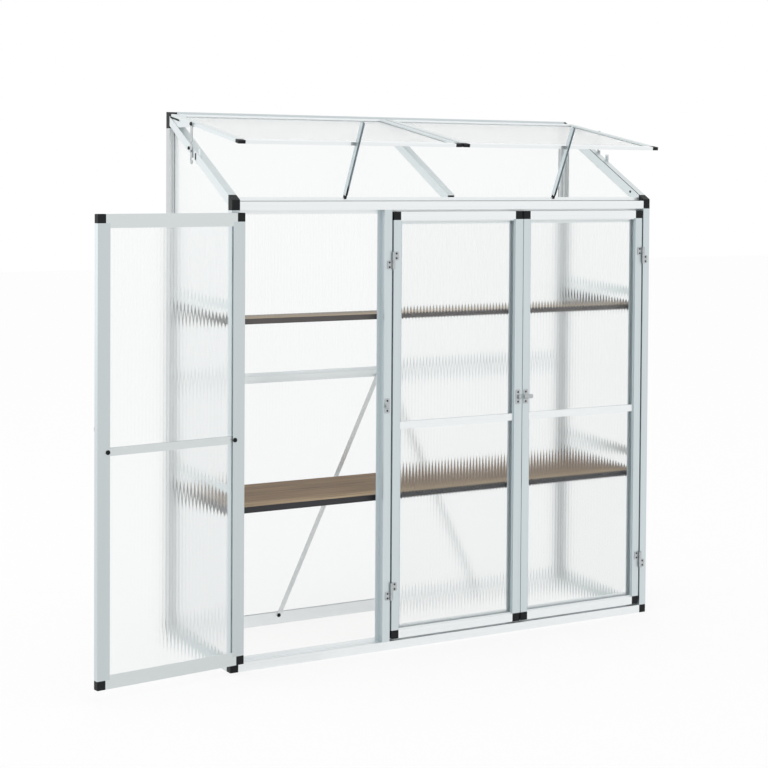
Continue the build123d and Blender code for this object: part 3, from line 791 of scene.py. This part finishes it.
@dataclass
class FlutedSheets:
    """The twin-wall sheets of one node, each with its ribs along its height or slope."""

    node: str
    body: str
    pitch: float = SHEET.pitch_mm * MM
    flute_depth: float = 0.12 * MM
    steps: int = 4
    sharp_angle: float = math.radians(40)

    def build(self) -> bpy.types.Object:
        """Draw every sheet of the node and put them in its place.

        Returns:
            The new object.
        """
        piece = Piece(f"{self.node}_fluted", self.body, SHEET, sharp_angle=self.sharp_angle)
        layer = piece.mesh.loops.layers.uv.new("sheet")
        for corners, out in separate_solids(self.node):
            self.add_sheet(piece.mesh, layer, corners, out)
        return piece.place(self.node)

    def add_sheet(
        self, mesh: bmesh.types.BMesh, layer: bmesh.types.BMLayerItem, corners: list[Vector], out: Vector
    ) -> None:
        """Add one sheet, hollowed a little between its ribs on both faces.

        Args:
            mesh: The mesh that gets the sheet.
            layer: The layer that holds distance across the ribs and along them.
            corners: Corners of the plain sheet.
            out: Normal of its largest face.
        """
        along = (UP - out * out.z).normalized()
        across = along.cross(out)
        spots = [(corner.dot(across), corner.dot(along), corner.dot(out)) for corner in corners]
        first, last = min(s[0] for s in spots), max(s[0] for s in spots)
        back, face = min(s[2] for s in spots), max(s[2] for s in spots)
        middle = (first + last) / 2
        near = [s[1] for s in spots if s[0] < middle]
        far = [s[1] for s in spots if s[0] > middle]
        count = max(1, round((last - first) / self.pitch)) * self.steps
        columns = []
        for number in range(count + 1):
            share = number / count
            sunk = self.flute_depth * math.sin(math.pi * number / self.steps) ** 2
            low = min(near) + (min(far) - min(near)) * share
            high = max(near) + (max(far) - max(near)) * share
            spot = across * (first + (last - first) * share)
            rises = (low, high, high, low)
            levels = (face - sunk, face - sunk, back + sunk, back + sunk)
            column = [
                mesh.verts.new(spot + along * rise + out * level) for rise, level in zip(rises, levels)
            ]
            columns.append((column, number * self.pitch / self.steps, rises))
        for (left, u_left, v_left), (right, u_right, v_right) in zip(columns, columns[1:]):
            for side in range(4):
                after = (side + 1) % 4
                quad = mesh.faces.new((left[side], right[side], right[after], left[after]))
                marks = (
                    (u_left, v_left[side]),
                    (u_right, v_right[side]),
                    (u_right, v_right[after]),
                    (u_left, v_left[after]),
                )
                for loop, mark in zip(quad.loops, marks):
                    loop[layer].uv = mark
        for column, _, _ in (columns[0], columns[-1]):
            mesh.faces.new(column)


@dataclass(frozen=True)
class PlateScrews:
    """The two screws of a latch plate or of its keeper."""

    level: float = 735.0 * MM
    half_pitch: float = 15.0 * MM
    plate: float = 1.5 * MM
    head: CrossHead = CrossHead(3.2 * MM, 1.4 * MM)

    def add(
        self, mesh: bmesh.types.BMesh, x: float, front: float, turn: Matrix = Matrix.Identity(4)
    ) -> None:
        """Add both screws to a mesh.

        Args:
            mesh: The mesh that gets the screws.
            x: Middle of the plate across the front.
            front: Front face that the plate lies on.
            turn: Moves the screws after they are drawn.
        """
        for step in (-1, 1):
            spot = Vector((x, front - self.plate, self.level + step * self.half_pitch))
            self.head.add(mesh, spot, FORWARD, turn)


LATCH_SCREWS = PlateScrews()


@dataclass
class DoorLeaf:
    """A hinged leaf, drawn closed and turned to its rest pose."""

    name: str
    way: int
    gap: float = 3.0 * MM
    axis_reach: float = 5.5 * MM
    leaf_thickness: float = 2.0 * MM
    leaf_screw_out: float = 12.0 * MM
    leaf_screw_half_pitch: float = 7.0 * MM
    leaf_middle: float = 13.2 * MM
    bolt_inset: float = 31.5 * MM
    latch_middle: float = 11.5 * MM
    hinge_screw: CrossHead = CrossHead(3.1 * MM, 1.5 * MM)
    bolt: CrossHead = CrossHead(6.5 * MM, 4.5 * MM)

    def __post_init__(self) -> None:
        """Take the hinge, the turn and the leaf's size from the frame."""
        joint = next(j for j in frame["joints"] if j["name"] == f"{self.name}_door_hinge")
        self.body = f"{self.name}_door"
        self.hinge = Vector(joint["pos_m"])
        spin = Matrix.Rotation(math.radians(-joint["range_deg"][0]), 4, Vector(joint["axis"]))
        self.turn = Matrix.Translation(self.hinge) @ spin @ Matrix.Translation(-self.hinge)
        low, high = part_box("middle_door_rails")
        stile_low, stile_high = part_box("middle_door_stiles")
        self.width = stile_high.x - stile_low.x
        self.depth = stile_high.y - stile_low.y
        self.bottom, self.top = low.z, high.z
        self.front = self.hinge.y + self.axis_reach

    def hinge_levels(self) -> list[float]:
        """Heights at which each door leaf's knuckle meets the frame's."""
        solids = [corners for corners, _ in separate_solids("middle_door_hinges")]
        return sorted(min(corner.z for corner in corners) for corners in solids)

    def build(self) -> list[bpy.types.Object]:
        """Add the screws of the hinges and the bolts that hold the mid rail.

        Returns:
            The new objects.
        """
        on_door = Piece(f"{self.body}_hinge_screws", self.body, BLACK_STEEL)
        on_frame = Piece(f"{self.body}_frame_leaf_screws", "frame", BLACK_STEEL)
        face = self.front - self.leaf_thickness
        for level in self.hinge_levels():
            for piece, side, turn in ((on_door, 1, self.turn), (on_frame, -1, Matrix.Identity(4))):
                x = self.hinge.x + side * self.way * self.leaf_screw_out
                for step in (-1, 1):
                    z = level + side * self.leaf_middle + step * self.leaf_screw_half_pitch
                    self.hinge_screw.add(piece.mesh, Vector((x, face, z)), FORWARD, turn)
        bolts = Piece(f"{self.body}_rail_bolts", self.body, BLACK_NYLON)
        middle = (self.bottom + self.top) / 2
        near = self.hinge.x + self.way * (self.gap + self.bolt_inset)
        far = self.hinge.x + self.way * (self.gap + self.width - self.bolt_inset)
        for x in (near, far):
            self.bolt.add(bolts.mesh, Vector((x, self.front + self.depth, middle)), -FORWARD, self.turn)
        latch = Piece(f"{self.body}_latch_screws", self.body, BLACK_STEEL)
        free = self.hinge.x + self.way * (self.gap + self.width - self.latch_middle)
        if self.name == "middle":
            free = sum(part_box("middle_door_keeper"), Vector()).x / 2
        LATCH_SCREWS.add(latch.mesh, free, self.front, self.turn)
        return [piece.place() for piece in (on_door, on_frame, bolts, latch)]


@dataclass
class Shelf:
    """A board with a dark band on its long edges."""

    node: str
    finish: Finish
    band: float = 0.8 * MM
    rounding: float = 0.6 * MM

    def build(self) -> bpy.types.Object:
        """Add the edge bands.

        Returns:
            The new object.
        """
        low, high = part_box(self.node)
        thickness = high.z - low.z
        middle = (high.z + low.z) / 2
        piece = Piece(f"{self.node}_edge_bands", "frame", self.finish)
        for y, out in ((low.y, FORWARD), (high.y, -FORWARD)):
            start, end = Vector((low.x, y, middle)), Vector((high.x, y, middle))
            add_strip(piece.mesh, start, end, out, thickness, self.band, self.rounding)
        return piece.place()


@dataclass
class MeetingStrip:
    """The aluminium strip on the middle door's free edge that covers the gap of the pair."""

    reach: float = 4.4 * MM
    thickness: float = 3.0 * MM
    rounding: float = 0.8 * MM
    set_back: float = 2.1 * MM

    def build(self) -> bpy.types.Object:
        """Add the strip from corner to corner.

        Returns:
            The new object.
        """
        low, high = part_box("middle_door_stiles")
        piece = Piece("pair_meeting_strip", "middle_door", ALUMINIUM[Run.UPRIGHT])
        y = low.y + self.set_back
        start, end = Vector((high.x, y, low.z)), Vector((high.x, y, high.z))
        add_strip(piece.mesh, start, end, RIGHTWARD, self.thickness, self.reach, self.rounding)
        return piece.place()


@dataclass
class RoofFittings:
    """Bolts, cheeks, tabs, pads and black strips at the two ends of the roof."""

    cheek_reach: float = 22.0 * MM
    cheek_back: float = 146.0 * MM
    cheek_thickness: float = 1.5 * MM
    cheek_chamfer: float = 0.3 * MM
    pad_start: float = -4.0 * MM
    pad_end: float = 58.0 * MM
    pad_height: float = 5.5 * MM
    bolt_back: float = 22.0 * MM
    bolt_drop: float = 17.5 * MM
    slot_shade_ahead: float = 26.0 * MM
    slot_shade_drop: float = 6.0 * MM
    slot_shade_length: float = 20.0 * MM
    slot_shade_width: float = 5.0 * MM
    tab_ahead: float = 44.0 * MM
    tab_length: float = 14.0 * MM
    tab_height: float = 17.0 * MM
    tab_inset: float = 4.0 * MM
    tab_thickness: float = 3.0 * MM
    tab_chamfer: float = 0.5 * MM
    screw_inset: float = 45.0 * MM
    screw_drop: float = 15.0 * MM
    rafter_strip_width: float = 2.0 * MM
    trim_height: float = 1.2 * MM
    trim_rounding: float = 0.5 * MM
    pivot_head: CrossHead = CrossHead(6.0 * MM, 4.2 * MM)
    side_bolt: CrossHead = CrossHead(5.5 * MM, 3.5 * MM)
    screw: CrossHead = CrossHead(4.0 * MM, 2.0 * MM)

    def __post_init__(self) -> None:
        """Find the slopes of the rafters and of the vents' outer stiles."""
        rafter = separate_solids("rafters")[0][0]
        front, rear = min(c.y for c in rafter), max(c.y for c in rafter)
        self.front = Vector((0.0, front, max(c.z for c in rafter if c.y < front + MM)))
        self.rear = Vector((0.0, rear, max(c.z for c in rafter if c.y > rear - MM)))
        self.side = abs(min(c.x for c in rafter))
        self.inner = abs(max(c.x for c in rafter))
        stile = separate_solids("vent_stiles")[0][0]
        self.stile_low, self.stile_high = min(stile, key=lambda c: c.z), max(stile, key=lambda c: c.y)
        pins = [sum(corners, Vector()) / len(corners) for corners, _ in separate_solids("vent_stay_pins")]
        self.pivot = max(pins, key=lambda spot: spot.z)
        self.stay_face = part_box("vent_stays")[1].x

    def roof(self, y: float) -> float:
        """Height of the rafters' upper face at a depth."""
        share = (y - self.front.y) / (self.rear.y - self.front.y)
        return self.front.z + (self.rear.z - self.front.z) * share

    def under_stile(self, y: float) -> float:
        """Height of the underside of the vents' stiles at a depth."""
        share = (y - self.stile_low.y) / (self.stile_high.y - self.stile_low.y)
        return self.stile_low.z + (self.stile_high.z - self.stile_low.z) * share

    def build(self) -> list[bpy.types.Object]:
        """Add the fittings of both ends.

        Returns:
            The new objects.
        """
        black = Piece("roof_bolts_and_pads", "frame", BLACK_NYLON)
        plates = Piece("vent_cheeks_and_tabs", "frame", ALUMINIUM[Run.DEEP])
        screws = Piece("rafter_screws", "frame", BLACK_STEEL)
        for way in (-1, 1):
            self.add_end(way, black.mesh, plates.mesh)
            for y in (self.front.y + self.screw_inset, self.rear.y - self.screw_inset):
                spot = Vector((way * self.inner, y, self.roof(y) - self.screw_drop))
                self.screw.add(screws.mesh, spot, RIGHTWARD * -way)
        # Only the right-hand rafter gets a black strip along its inner edge
        across = RIGHTWARD * (self.inner + self.rafter_strip_width / 2)
        out = RIGHTWARD.cross(self.rear - self.front).normalized()
        start, end = self.front + across, self.rear + across
        add_strip(black.mesh, start, end, out, self.rafter_strip_width, self.trim_height, self.trim_rounding)
        return [piece.place() for piece in (black, plates, screws)]

    def add_end(self, way: int, black: bmesh.types.BMesh, plates: bmesh.types.BMesh) -> None:
        """Add the fittings round one stay.

        Args:
            way: Minus one for the left end, one for the right end.
            black: The mesh of the black fittings.
            plates: The mesh of the aluminium fittings.
        """
        out = RIGHTWARD * way
        y = self.pivot.y
        self.pivot_head.add(black, Vector((way * self.stay_face, y, self.pivot.z)), out)
        back = y + self.bolt_back
        self.side_bolt.add(black, Vector((way * self.side, back, self.roof(back) - self.bolt_drop)), out)
        # Painted shade: a black strip on the rafter's side, ahead of the stay, paints the shade of a slot
        ahead = y - self.slot_shade_ahead
        top = Vector((way * self.side, ahead, self.roof(ahead) - self.slot_shade_drop))
        trim = (self.trim_height, self.trim_rounding)
        add_strip(black, top, top - UP * self.slot_shade_length, out, self.slot_shade_width, *trim)
        near, far = y - self.cheek_reach, y + self.cheek_back
        foot = self.under_stile(near)
        slope = (self.rear.y - self.front.y) / (self.rear.z - self.front.z)
        meet = self.front.y + (foot - self.front.z) * slope
        inset = way * (self.side - 2 * self.cheek_thickness)
        outline = [(near, foot), (meet, foot), (far, self.roof(far)), (far, self.under_stile(far))]
        corners = [Vector((inset, a, b)) for a, b in outline]
        add_plate(plates, corners, out, self.cheek_thickness, self.cheek_chamfer)
        spots = [self.stile_high.y - reach for reach in (self.pad_start, self.pad_end)]
        start, end = [Vector((way * self.side, a, self.under_stile(a))) for a in spots]
        add_strip(black, start, end, out, self.pad_height, *trim)
        near = y - self.tab_ahead
        far = near - self.tab_length
        top = self.roof(near) + self.tab_height
        inset = way * (self.side - self.tab_inset)
        outline = [(near, self.roof(near)), (near, top), (far, top), (far, self.roof(far))]
        corners = [Vector((inset, a, b)) for a, b in outline]
        add_plate(plates, corners, out, self.tab_thickness, self.tab_chamfer)


@dataclass
class WallFittings:
    """Bolts of the rear braces, screws of the mullion's keeper and a grey strip along the eave that paints the
    shade line at the base of its lip.
    """

    shade_line_inset: float = 13.0 * MM
    shade_line_depth: float = 2.4 * MM
    shade_line_height: float = 1.6 * MM
    shade_line_rounding: float = 0.5 * MM
    lip_wall: float = 1.5 * MM
    lip_height: float = 12.0 * MM
    bolt: CrossHead = CrossHead(6.0 * MM, 3.6 * MM)

    def build(self) -> list[bpy.types.Object]:
        """Add the bolts, the screws and the grey strip of painted shade.

        Returns:
            The new objects.
        """
        bolts = Piece("brace_bolts", "frame", BLACK_NYLON)
        for corners, _ in separate_solids("rear_braces"):
            face = min(c.y for c in corners)
            low, high = min(corners, key=lambda c: c.z), max(corners, key=lambda c: c.z)
            half = (max(c.x for c in corners) - min(c.x for c in corners) - abs(high.x - low.x)) / 2
            for spot, way in ((low, 1), (high, -1)):
                self.bolt.add(bolts.mesh, Vector((spot.x, face, spot.z + way * half)), FORWARD)
        keeper = Piece("mullion_keeper_screws", "frame", BLACK_STEEL)
        low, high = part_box("mullion_keeper")
        LATCH_SCREWS.add(keeper.mesh, (low.x + high.x) / 2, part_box("front_mullion")[0].y)
        # Painted shade: a grey strip where the eave's lip meets the rail's top
        shade_line = Piece("eave_seal", "frame", GREY_SHADE_LINE)
        low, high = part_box("eave_rail")
        y = high.y - self.lip_wall - self.shade_line_depth / 2
        level = high.z - self.lip_height
        start = Vector((low.x + self.shade_line_inset, y, level))
        end = Vector((high.x - self.shade_line_inset, y, level))
        add_strip(shade_line.mesh, start, end, UP, self.shade_line_depth, self.shade_line_height, self.shade_line_rounding)
        return [piece.place() for piece in (bolts, keeper, shade_line)]


RUNS = {
    Run.ACROSS: ("eave_rail", "front_sill", "rear_sill", "rear_mid_rail", "vent_rails"),
    Run.DEEP: ("side_sills", "side_rails", "rafters", "vent_stiles"),
    Run.UPRIGHT: ("front_posts", "front_mullion", "vent_props"),
}
DOOR_RUNS = {Run.ACROSS: "rails", Run.UPRIGHT: "stiles"}
DOORS = ("left", "middle", "right")
FINISHES = {
    "black_plastic": BLACK_NYLON,
    "black_metal": BLACK_STEEL,
    "shelf_board": BOARD,
    "fittings": ZINC,
}


@dataclass
class FrameDress:
    """The finishes of the CAD nodes that stay in view."""

    def finishes(self) -> dict[str, Finish]:
        """Each node's finish, by its slot or by the way that its bars run.

        Returns:
            Node name to finish.
        """
        chosen = {}
        for row in frame["record"]["subparts"]:
            if row["material_slot"] in FINISHES:
                chosen[row["node"]] = FINISHES[row["material_slot"]]
        for run, nodes in RUNS.items():
            chosen.update({node: ALUMINIUM[run] for node in nodes})
        for run, ending in DOOR_RUNS.items():
            chosen.update({f"{door}_door_{ending}": DOOR_BARS[door, run] for door in DOORS})
        chosen.update({node: REAR_ALUMINIUM for node in ("rear_posts", "rear_braces")})
        chosen.update({"ridge_rail": RIDGE_SHADE_ALUMINIUM, "upper_shelf": FADED_BOARD})
        return chosen

    def dress(self) -> None:
        """Give each node its material."""
        for node, finish in self.finishes().items():
            slots = frame["nodes"][node].data.materials
            slots.clear()
            slots.append(finish.material())
            log.info("%s: %s", node, finish.name)


@dataclass
class Studio:
    """A pale floor, a white background and soft light from the left and from above."""

    floor_size: float = 40.0
    floor_drop: float = 0.3 * MM
    world_level: float = 0.9
    key_power: float = 16.0
    key_size: float = 3.2
    key_place: tuple[float, float, float] = (-3.9, 2.6, 2.0)
    top_power: float = 12.0
    top_size: float = 3.0
    top_place: tuple[float, float, float] = (-0.4, -1.2, 4.0)
    aim: tuple[float, float, float] = (0.0, -0.2, 0.8)

    def build(self) -> None:
        """Make the floor, the background and the lamps."""
        mesh = bmesh.new()
        bmesh.ops.create_grid(mesh, x_segments=1, y_segments=1, size=self.floor_size / 2)
        data = bpy.data.meshes.new("studio_floor")
        mesh.to_mesh(data)
        mesh.free()
        data.materials.append(FLOOR.material())
        floor = bpy.data.objects.new("studio_floor", data)
        floor.location.z = -self.floor_drop
        bpy.context.scene.collection.objects.link(floor)
        self.light_world()
        self.add_lamp("key_softbox", self.key_power, self.key_size, self.key_place)
        self.add_lamp("top_softbox", self.top_power, self.top_size, self.top_place)

    def light_world(self) -> None:
        """White where it is looked at, and a plain level where it lights the object."""
        world = bpy.data.worlds.new("studio_background")
        bpy.context.scene.world = world
        world.use_nodes = True
        tree = world.node_tree
        tree.nodes.clear()
        white = linear("#FFFFFF")
        lit = add_node(tree, "ShaderNodeBackground", {"Color": white, "Strength": self.world_level})
        seen = add_node(tree, "ShaderNodeBackground", {"Color": white, "Strength": 1.0})
        both = add_node(
            tree,
            "ShaderNodeMixShader",
            {0: looking(tree), 1: lit.outputs["Background"], 2: seen.outputs["Background"]},
        )
        add_node(tree, "ShaderNodeOutputWorld", {"Surface": both.outputs["Shader"]})

    def add_lamp(self, name: str, power: float, size: float, place: Iterable[float]) -> None:
        """Add a square softbox that points at the object.

        Args:
            name: The lamp's name.
            power: Its power in watts.
            size: Its side in metres.
            place: Where it stands.
        """
        data = bpy.data.lights.new(name, "AREA")
        data.energy = power
        data.size = size
        lamp = bpy.data.objects.new(name, data)
        lamp.location = place
        lamp.rotation_mode = "QUATERNION"
        lamp.rotation_quaternion = (Vector(self.aim) - lamp.location).to_track_quat("-Z", "Y")
        bpy.context.scene.collection.objects.link(lamp)


@dataclass
class PhotoCamera:
    """The camera of the photograph, found from the frame's corners."""

    place: tuple[float, float, float] = (-2.9366, -5.0228, 1.4195)
    yaw_deg: float = 30.436
    pitch_deg: float = 1.757
    roll_deg: float = 0.365
    lens_mm: float = 83.70
    picture_side: float = 768.0
    axis_row: float = 231.0

    def build(self) -> None:
        """Make the camera and set it as the scene's own."""
        yaw, pitch, roll = [math.radians(a) for a in (self.yaw_deg, self.pitch_deg, self.roll_deg)]
        right = Vector((math.cos(yaw), -math.sin(yaw), 0.0))
        level = math.cos(pitch)
        ahead = Vector((level * math.sin(yaw), level * math.cos(yaw), -math.sin(pitch)))
        upward = right.cross(ahead)
        turned_right = math.cos(roll) * right + math.sin(roll) * upward
        turned_up = math.cos(roll) * upward - math.sin(roll) * right
        data = bpy.data.cameras.new("photo_camera")
        data.lens = self.lens_mm
        data.shift_y = (self.axis_row - self.picture_side / 2) / self.picture_side
        camera = bpy.data.objects.new("photo_camera", data)
        axes = Matrix((turned_right, turned_up, -ahead)).transposed().to_4x4()
        camera.matrix_world = Matrix.Translation(self.place) @ axes
        bpy.context.scene.collection.objects.link(camera)
        bpy.context.scene.camera = camera


def main() -> None:
    """Build and dress the greenhouse, light it and look at it as the photograph does."""
    logging.basicConfig(level=logging.INFO, format="%(message)s")
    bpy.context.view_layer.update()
    bpy.context.scene.view_settings.view_transform = "Standard"
    FrameDress().dress()
    sheets = [FlutedSheets(f"{door}_door_panes", f"{door}_door") for door in DOORS]
    sheets += [FlutedSheets(node, "frame") for node in ("side_panels", "rear_panels", "vent_panels")]
    for sheet in sheets:
        sheet.build()
    for leaf in (DoorLeaf("left", 1), DoorLeaf("middle", 1), DoorLeaf("right", -1)):
        leaf.build()
    MeetingStrip().build()
    RoofFittings().build()
    WallFittings().build()
    for node, finish in (("upper_shelf", FADED_BAND), ("lower_shelf", EDGE_BAND)):
        Shelf(node, finish).build()
    Studio().build()
    PhotoCamera().build()


if __name__ == "__main__":
    main()
